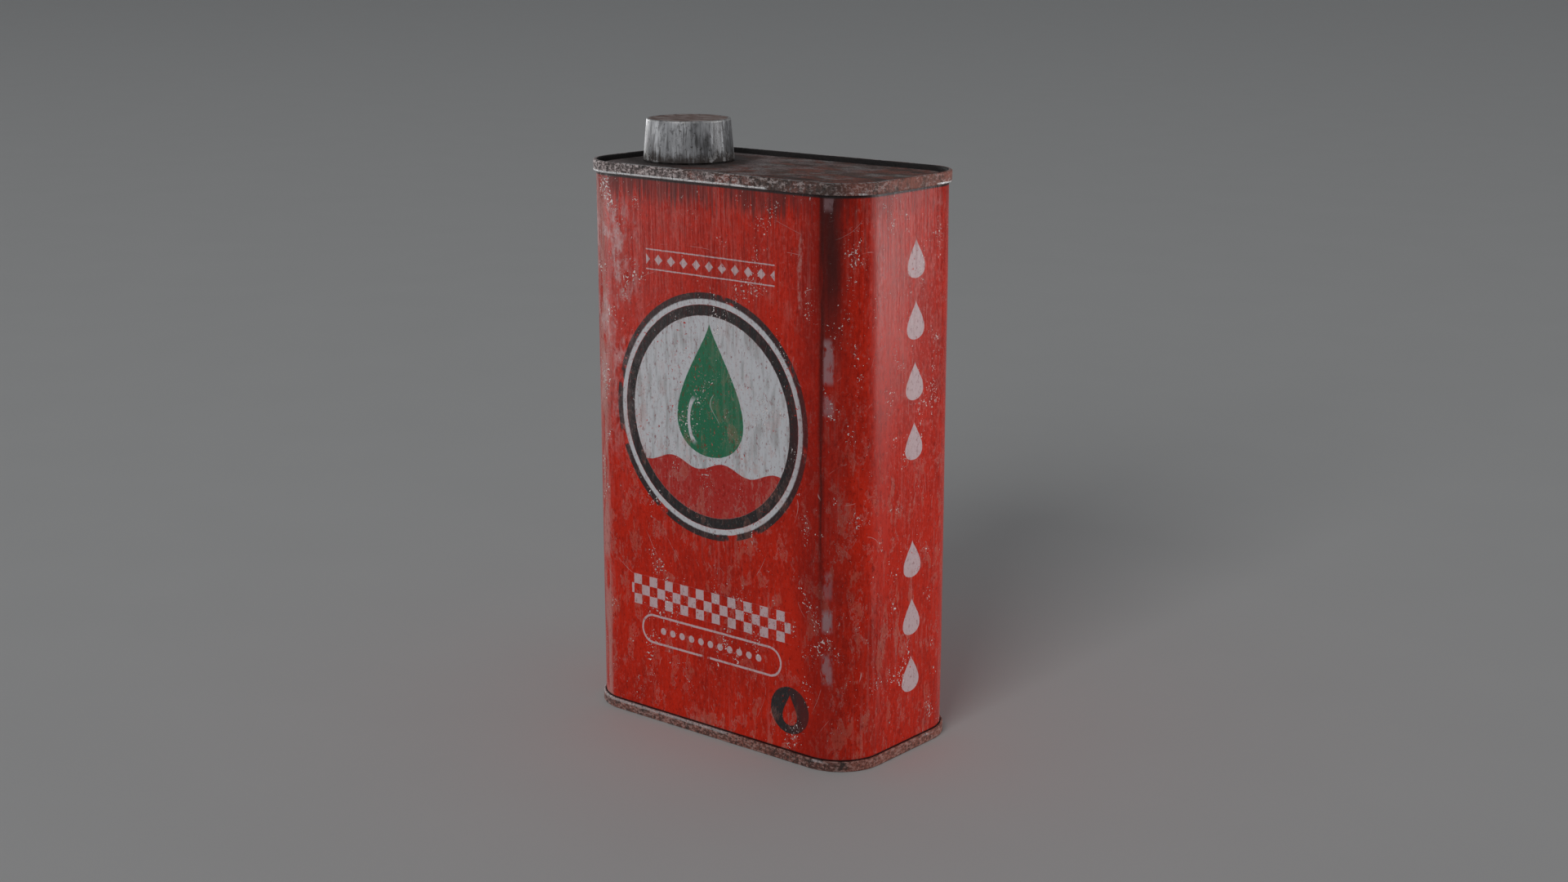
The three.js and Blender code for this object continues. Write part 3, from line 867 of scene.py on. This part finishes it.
def sooty(f, wear, colour):
    """Fine upright scratches under the top seam, paler to the left as painted sheen, with soot between
    them.
    Gives the scratched zone and the soot too."""
    zone = wear.down.rise(64.0, 10.0)
    # Painted sheen: the scratches are paler towards the left
    pale = (f.x * -0.012 + wear.hazy * 0.7 + 0.1).clamp()
    colour = f.mix(colour, FILM, wear.hairline.rise(0.52, 0.64) * zone * pale * 0.32)
    colour = f.mix(colour, DEEP_RED, wear.hairline.rise(0.5, 0.38) * zone * 0.42)
    smoky = f.noise((13.0, 13.0, 60.0), 13).rise(0.36, 0.6) * 0.75 + 0.25
    smoky = smoky * (1.0 - f.x.rise(46.0, 54.0) * 0.7)
    soot = (wear.down.rise(19.0, 0.0) + wear.streak * 1.7 - 1.4).rise(0.0, 0.45) * smoky
    return f.mix(colour, STAIN, soot * 0.75), zone, soot


def worn_corner(f, wear, colour):
    """A dark run down the front corner, a dried one beside it, and spots worn to the metal.
    Gives where it is bare too."""
    corner, wander = wear.corner, wear.wander
    run = (corner + wander).within(2.8, 9.0, 2.6) * wear.down.rise(60.0, 20.0)
    thread = (corner + wander * 0.4).within(2.4, 3.9, 0.7) * wear.down.rise(150.0, 90.0) * 0.75
    colour = f.mix(colour, DEEP_RED, corner.within(-5.0, 8.0, 6.0) * wear.cloud.rise(0.2, 0.5) * 0.5)
    colour = f.mix(colour, STAIN, run * 0.9)
    colour = f.mix(colour, STAIN, thread * wear.streak.rise(0.3, 0.5))
    spots, *others = [f.z.within(low, high, 1.2) * share for low, high, share in WORN_SPOTS]
    for other in others:
        spots = spots.most(other)
    scuff = f.noise((1.6, 1.6, 4.0), 17, detail=4.0, rough=0.6).rise(0.36, 0.52)
    bare = spots * (corner + wander * 0.3).within(3.8, 6.9, 0.5) * scuff
    colour = f.mix(colour, BARE, bare * 0.85)
    dried = (f.x - 36.0 + wander * 1.3).abs().rise(1.0, 0.3) * f.z.within(142.0, 165.0, 2.0)
    return f.mix(colour, FILM, dried * (wear.speckle.rise(0.42, 0.6) * 0.35 + 0.05)), bare


def flaked(f, colour, milky):
    """Clusters of tiny raised flakes, pale partly as a painted glint, and a few long scratches. Gives both
    too.
    """
    cluster = f.noise((7.0, 7.0, 12.0), 19, detail=3.0).rise(0.5, 0.68)
    fine = f.noise(0.75, 20, detail=2.0, rough=0.7)
    chips_and_glints = (fine + cluster * 0.14 + milky * 0.055).rise(0.73, 0.755)
    # Painted glints, in part: the raised flakes are coloured near white
    colour = f.mix(colour, CHIP_AND_GLINT, chips_and_glints * 0.9)
    lines = f.noise((60.0, 60.0, 45.0), 23, detail=0.0).repeat(0.07).abs().rise(0.0006, 0.0002)
    scratch = lines * f.noise(12.0, 24).rise(0.56, 0.62)
    return f.mix(colour, CHIP_AND_GLINT, scratch * 0.35), chips_and_glints, scratch


def printed_sheet():
    f = Finish("printed_sheet")
    wear = PaintWear(f)
    grain = f.noise((1.3, 1.3, 4.5), 2, detail=5.0, rough=0.7)
    deeper = (wear.cloud * 1.3 + grain * 1.9 - 1.38).clamp() * 0.8
    colour, black = print_on_front(f, f.mix(RED, DEEP_RED, deeper))
    colour = print_on_side(f, colour)
    colour, film_and_sheen, milky = faded(f, wear, colour)
    colour, patches = patched(f, wear, colour, black)
    colour, zone, soot = sooty(f, wear, colour)
    colour, bare = worn_corner(f, wear, colour)
    colour, chips_and_glints, scratch = flaked(f, colour, milky)
    # Painted shade: a thin dark line on the body just under the top seam and just over the bottom one
    painted_seam_shade = wear.down.rise(1.1, 0.6).most(wear.up.rise(0.6, 0.2))
    colour = f.mix(colour, SOOT_AND_SHADE, painted_seam_shade * 0.95)

    f.gloss(0.25)
    roughness = 0.22 + film_and_sheen * 0.14 + soot * 0.15 + bare * 0.15 + patches * 0.1
    roughness = roughness + wear.speckle.rise(0.45, 0.75) * 0.2 + (wear.streak - 0.5) * 0.2
    roughness = roughness + wear.corner.within(16.0, 27.0, 3.0) * 0.11
    relief = chips_and_glints * 0.3 + (wear.hairline - 0.5) * zone * 0.05 + wear.speckle * 0.03
    relief = relief + patches * 0.03 + wear.streak * 0.03 - scratch * 0.04 - bare * 0.06
    return f.finish(colour, roughness, bare * 0.35, relief)


RUST = (0.13, 0.068, 0.052)
DUSTY_RUST = (0.3, 0.24, 0.235)
RED_RUST = (0.3, 0.085, 0.055)
DARK_RUST = (0.025, 0.017, 0.015)
GREY_DUST = (0.36, 0.33, 0.32)
PALE_FLAKE = (0.62, 0.56, 0.56)
METAL = (0.74, 0.74, 0.75)


def stained_panel(f, colour, panel, cloud, top_half):
    """Stains on both panels, and a dark ring on the top panel round the cap, darkest next to it."""
    stain = f.noise((13.0, 6.0, 6.0), 4, detail=6.0, rough=0.62, bend=0.4)
    colour = f.mix(colour, GREY_DUST, panel * stain.rise(0.53, 0.63) * 0.75)
    colour = f.mix(colour, DARK_RUST, panel * stain.rise(0.46, 0.37) * 0.7)
    from_cap = distance(f.x - NECK_X, f.y) + (cloud - 0.5) * 12.0
    return f.mix(colour, DARK_RUST, panel * top_half * from_cap.rise(27.0, 15.0) * 0.85)


def worn_band(f, colour, band, cloud, speck, drips, dusty, top_half):
    """Flaking rust on both seams, darker at the front corner and redder on +X, with edges worn bright.
    Gives where it is bright too."""
    foot = 1.0 - top_half
    colour = f.mix(colour, RED_RUST, band * foot * cloud.rise(0.36, 0.52) * 0.7)
    dripping = drips.rise(0.54, 0.64) * (dusty * 0.6 + 0.2) * (top_half * 0.6 + 0.4)
    colour = f.mix(colour, PALE_FLAKE, band * dripping)
    colour = f.mix(colour, DARK_RUST, drips.rise(0.48, 0.4) * 0.75)
    colour = f.mix(colour, DARK_RUST, speck.rise(0.47, 0.38) * 0.75)
    front_corner = f.x.rise(0.0, 44.0) * f.facing_front(12.0, 26.0)
    colour = f.mix(colour, DARK_RUST, band * front_corner * 0.5)
    colour = f.mix(colour, RED_RUST, band * f.x.rise(46.0, 55.0) * cloud.rise(0.4, 0.56) * 0.6)

    where = f.noise((15.0, 15.0, 3.0), 7, detail=3.0)
    flakes = f.noise((1.3, 1.3, 0.8), 8, detail=4.0, rough=0.7)
    flaky = (f.x * -0.006 + where * 1.2 - 0.22 + top_half * 0.2).clamp() * (top_half * 0.8 + 0.2)
    colour = f.mix(colour, (0.68, 0.59, 0.58), band * flaky * flakes.rise(0.53, 0.57) * 0.95)
    colour = f.mix(colour, SOOT_AND_SHADE, band * flaky * flakes.rise(0.48, 0.44) * 0.9)
    colour = f.mix(colour, (0.46, 0.27, 0.24), band * foot * flakes.rise(0.52, 0.57) * 0.55)
    colour = f.mix(colour, DARK_RUST, band * foot * flakes.rise(0.46, 0.42) * 0.6)

    lower_edge = f.z.within(RIM - TOP_BAND - 0.2, RIM - TOP_BAND + 0.7, 0.12)
    upper_edge = f.z.within(FOOT_BAND - 0.75, FOOT_BAND + 0.2, 0.12)
    bright = band * lower_edge.most(upper_edge * 0.45)
    bright = bright * (where + f.x * -0.004).rise(0.4, 0.47) * drips.rise(0.34, 0.46)
    crest = band * f.z.rise(RIM - 0.16, RIM - 0.04) * where.rise(0.46, 0.6) * speck.rise(0.4, 0.52)
    bright = bright.most(crest * 0.6)
    return f.mix(colour, METAL, bright * 0.9), bright


def rusted_sheet():
    f = Finish("rusted_sheet")
    out = f.outside()
    top_half = f.z.rise(RIM / 2, RIM / 2 + 1)
    groove = CHUCK[0] - GROOVE_WIDTH
    panel = out.rise(groove + 0.2, groove - 0.4)
    wall = out.rise(CHUCK[1] + 0.3, CHUCK[1] + 0.1) * (1.0 - panel)
    band = 1.0 - panel - wall
    cloud = f.noise(9.0, 1, detail=5.0, rough=0.6)
    speck = f.noise(0.9, 2, detail=4.0, rough=0.65)
    drips = f.noise((0.6, 0.6, 2.4), 6, detail=4.0, rough=0.7)
    redder = (f.noise((14.0, 6.0, 9.0), 3, detail=4.0) + f.x * 0.0018).rise(0.46, 0.58)
    dusty = (cloud + f.x * -0.003).rise(0.44, 0.6) * (top_half * 0.6 + 0.4)
    colour = f.mix(RUST, RED_RUST, redder * 0.85)
    colour = f.mix(colour, DUSTY_RUST, dusty * 0.8)
    colour = stained_panel(f, colour, panel, cloud, top_half)
    colour, bright = worn_band(f, colour, band, cloud, speck, drips, dusty, top_half)

    # The walls inside the rims are made nearly black, and painted shade darkens the crevice where the paint
    # meets the bottom seam
    colour = f.mix(colour, SOOT_AND_SHADE, (wall * (speck.rise(0.2, 0.4) * 0.2 + 0.8)).clamp())
    crevice_shade = out.within(-0.4, COVER_HOOK[1], 0.1) * f.z.rise(FOOT_BAND - 0.8, FOOT_BAND - 0.3)
    colour = f.mix(colour, SOOT_AND_SHADE, crevice_shade * (1.0 - top_half) * 0.95)

    roughness = 0.6 + speck * 0.2 - bright * 0.3
    relief = speck * 0.3 + drips * 0.3 + cloud * 0.2
    return f.finish(colour, roughness, bright * 0.8, relief)


def cap_metal():
    f = Finish("cap_metal")
    streak = f.noise((0.9, 0.9, 15.0), 1, detail=4.0, rough=0.6)
    broad = f.noise((5.0, 5.0, 16.0), 2, detail=3.0)
    spot = f.noise(1.4, 3, detail=4.0, rough=0.65)
    fine = f.noise((0.35, 0.35, 9.0), 5, detail=2.0)
    blotch = f.noise((3.4, 3.4, 3.6), 8, detail=5.0, rough=0.62)
    above = f.z - CAP_LOW.z
    colour = f.mix((0.36, 0.365, 0.38), (0.13, 0.13, 0.135), broad.rise(0.42, 0.58))
    colour = f.mix(colour, (0.5, 0.51, 0.53), streak.rise(0.53, 0.66) * 0.6)
    colour = f.mix(colour, (0.05, 0.048, 0.048), streak.rise(0.46, 0.37) * 0.65)
    colour = f.mix(colour, (0.045, 0.043, 0.045), blotch.rise(0.54, 0.64) * 0.6)
    colour = f.mix(colour, (0.62, 0.63, 0.65), fine.rise(0.6, 0.68) * above.rise(5.0, 10.0) * 0.55)
    colour = f.mix(colour, (0.04, 0.034, 0.03), spot.rise(0.6, 0.68) * 0.8)

    # The foot is dark, with some pale frosting
    foot = (above + (spot - 0.5) * 4.0 + (streak - 0.5) * 6.0).rise(4.0, 0.6)
    colour = f.mix(colour, (0.035, 0.024, 0.02), foot * 0.94)
    frost = foot * spot.rise(0.5, 0.6) * f.noise(9.0, 7).rise(0.45, 0.55)
    colour = f.mix(colour, (0.42, 0.41, 0.41), frost * 0.8)

    # The top face is brown, inside a thin rim worn to metal
    radius = distance(f.x - NECK_X, f.y)
    face = f.z.rise(CAP_HIGH.z - 0.6, CAP_HIGH.z - 0.35)
    face = face * radius.rise(CAP_TOP_RADIUS - 0.5, CAP_TOP_RADIUS - 1.2)
    dusty = f.noise((7.0, 3.0, 3.0), 9, detail=5.0).rise(0.42, 0.6)
    rust = f.mix((0.2, 0.12, 0.1), (0.36, 0.28, 0.26), dusty)
    rust = f.mix(rust, (0.05, 0.035, 0.03), spot.rise(0.44, 0.34) * 0.7)
    colour = f.mix(colour, rust, face * 0.95)
    rim = radius.within(CAP_TOP_RADIUS - 1.0, CAP_TOP_RADIUS + 0.1, 0.12) * above.rise(12.3, 12.8)
    colour = f.mix(colour, (0.55, 0.54, 0.53), rim * spot.rise(0.38, 0.55) * 0.6)

    roughness = 0.42 + foot * 0.3 + face * 0.3 + (streak - 0.5) * 0.2
    metal = (0.4 - foot * 0.35 - face * 0.35).clamp()
    relief = streak * 0.06 + spot * 0.06 + foot * spot * 0.15
    return f.finish(colour, roughness, metal, relief)


def tinplate():
    f = Finish("plain_tinplate")
    stain = f.noise(6.0, 1, detail=5.0, rough=0.6)
    turning = f.noise((9.0, 9.0, 0.35), 2, detail=3.0)
    colour = f.mix((0.5, 0.49, 0.46), (0.3, 0.24, 0.17), stain.rise(0.48, 0.66) * 0.8)
    colour = f.mix(colour, (0.62, 0.62, 0.6), turning.rise(0.55, 0.7) * 0.4)
    colour = f.mix(colour, (0.16, 0.08, 0.05), f.noise(1.4, 3, detail=4.0).rise(0.62, 0.7) * 0.7)
    return f.finish(colour, 0.3 + stain * 0.25, 0.9 - stain.rise(0.5, 0.7) * 0.3, turning * 0.02)


def solder_metal():
    f = Finish("solder")
    lump = f.noise((1.6, 1.6, 3.0), 1, detail=4.0)
    colour = f.mix((0.34, 0.34, 0.33), (0.5, 0.5, 0.49), lump.rise(0.4, 0.65))
    colour = f.mix(colour, (0.12, 0.085, 0.07), f.noise(4.0, 2, detail=5.0).rise(0.54, 0.64) * 0.75)
    return f.finish(colour, 0.38 + lump * 0.25, 0.85, lump * 0.12)


def sealing_compound():
    f = Finish("sealing_compound")
    lump = f.noise(0.9, 1, detail=3.0)
    colour = f.mix((0.05, 0.047, 0.04), (0.11, 0.1, 0.08), lump.rise(0.4, 0.6))
    return f.finish(colour, 0.6 + lump * 0.2, 0.0, lump * 0.05)


def liner_board():
    f = Finish("liner_board")
    fibre = f.noise((2.6, 0.5, 0.5), 1, detail=5.0, rough=0.7)
    stain = f.noise(7.0, 2, detail=3.0)
    colour = f.mix((0.4, 0.29, 0.17), (0.53, 0.42, 0.28), fibre.rise(0.38, 0.64))
    colour = f.mix(colour, (0.14, 0.08, 0.035), stain.rise(0.48, 0.62) * 0.7)
    return f.finish(colour, 0.75 + fibre * 0.15, 0.0, fibre * 0.06)


def liner_foil():
    f = Finish("liner_foil")
    crease = f.creases(3.4, 1).rise(0.07, 0.0)
    fine = f.noise(1.1, 2, detail=4.0)
    oily = f.noise(5.0, 3, detail=4.0).rise(0.5, 0.68)
    colour = f.mix((0.66, 0.66, 0.67), (0.4, 0.37, 0.32), oily * 0.7)
    colour = f.mix(colour, (0.82, 0.82, 0.83), crease * 0.5)
    return f.finish(colour, 0.24 + fine * 0.2, 0.95, crease * 0.05 + fine * 0.04)


def pale_floor():
    f = Finish("pale_floor")
    speckle = f.noise(60.0, 1, detail=4.0)
    colour = f.mix((0.66, 0.66, 0.655), (0.69, 0.69, 0.685), speckle)
    return f.finish(colour, 0.7 + speckle * 0.1, 0.0)


# --- Stage ------------------------------------------------------------------------------


def build_floor():
    """A pale disc, wide enough to reach past what the camera sees."""
    bm = bmesh.new()
    bmesh.ops.create_circle(bm, cap_ends=True, radius=40.0, segments=96)
    mesh = bpy.data.meshes.new("floor")
    bm.to_mesh(mesh)
    bm.free()
    floor = bpy.data.objects.new("floor", mesh)
    bpy.context.scene.collection.objects.link(floor)
    mesh.materials.append(pale_floor())


def around(azimuth, elevation, reach):
    """A point seen from the tin's middle. Azimuth 0 is in front of the label and 90 is towards +X."""
    a, e = math.radians(azimuth), math.radians(elevation)
    return Vector((math.sin(a) * math.cos(e), -math.cos(a) * math.cos(e), math.sin(e))) * reach


def build_light(name, middle, azimuth, reach, foot, width, height, power, receivers=None):
    """An upright softbox that faces the tin, in metres and watts, with its lower edge at the foot's height.
    It lights only the receivers, if they are given."""
    light = bpy.data.lights.new(name, "AREA")
    light.shape = "RECTANGLE"
    light.size, light.size_y = width, height
    light.energy = power
    lamp = bpy.data.objects.new(name, light)
    bpy.context.scene.collection.objects.link(lamp)
    lamp.location = middle + around(azimuth, 0, reach)
    lamp.location.z = foot + height / 2
    lamp.rotation_euler = (middle - lamp.location).to_track_quat("-Z", "Y").to_euler()
    lamp.visible_camera = False
    if receivers:
        lamp.light_linking.receiver_collection = receivers


def build_lights(middle, tin_parts):
    """A large key in front, and strips that put the sheen on the tin's corners and spare the floor."""
    tin_only = bpy.data.collections.new("lit_by_strips")
    for part in tin_parts:
        tin_only.objects.link(part)
    build_light("key_softbox", middle, 15, 6.0, 1.5, 3.0, 3.0, 124.0)
    build_light("right_strip", middle, 126, 0.42, 0.03, 0.06, 0.25, 0.76, tin_only)
    build_light("left_strip", middle, -57, 0.45, 0.03, 0.13, 0.25, 0.36, tin_only)
    build_light("left_rim", middle, -106, 1.6, 0.1, 0.3, 0.4, 4.5, tin_only)


def build_sky():
    """An even dim light from all round."""
    world = bpy.data.worlds.new("studio")
    world.use_nodes = True
    background = world.node_tree.nodes["Background"]
    background.inputs["Color"].default_value = (0.62, 0.64, 0.66, 1)
    background.inputs["Strength"].default_value = 0.27
    bpy.context.scene.world = world
    bpy.context.scene.view_settings.view_transform = "Standard"


def build_camera(middle):
    """The photograph's view: from beyond the corner between the label and the +X side, above the rim."""
    camera = bpy.data.cameras.new("camera")
    camera.lens = 50
    camera.sensor_width = 36
    camera.dof.use_dof = False
    eye = bpy.data.objects.new("camera", camera)
    bpy.context.scene.collection.objects.link(eye)
    eye.location = middle + CAMERA_AIM + around(CAMERA_YAW, CAMERA_PITCH, CAMERA_REACH)
    eye.rotation_euler = (math.radians(90 - CAMERA_PITCH), 0, math.radians(CAMERA_YAW))
    bpy.context.scene.camera = eye


def build_stage(tin_parts):
    low, high = (Vector(corner) for corner in CAD_BOX)
    middle = (low + high) / 2
    build_floor()
    build_lights(middle, tin_parts)
    build_sky()
    build_camera(middle)


def dress(node, material):
    """Gives a CAD node that stays as it is its finish."""
    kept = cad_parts[node]
    kept.data.materials.clear()
    kept.data.materials.append(material)
    return kept


rust = rusted_sheet()
tin = tinplate()
solder = solder_metal()
compound = sealing_compound()
parts = [
    build_body(printed_sheet()),
    build_top(rust),
    build_bottom(rust),
    build_side_solder(solder),
    build_neck(tin),
    build_neck_solder(solder),
    build_cap(cap_metal()),
    build_insert(tin),
    build_liner(liner_board()),
    build_facing(liner_foil()),
    dress("top_seam_compound", compound),
    dress("bottom_seam_compound", compound),
]
build_stage(parts)
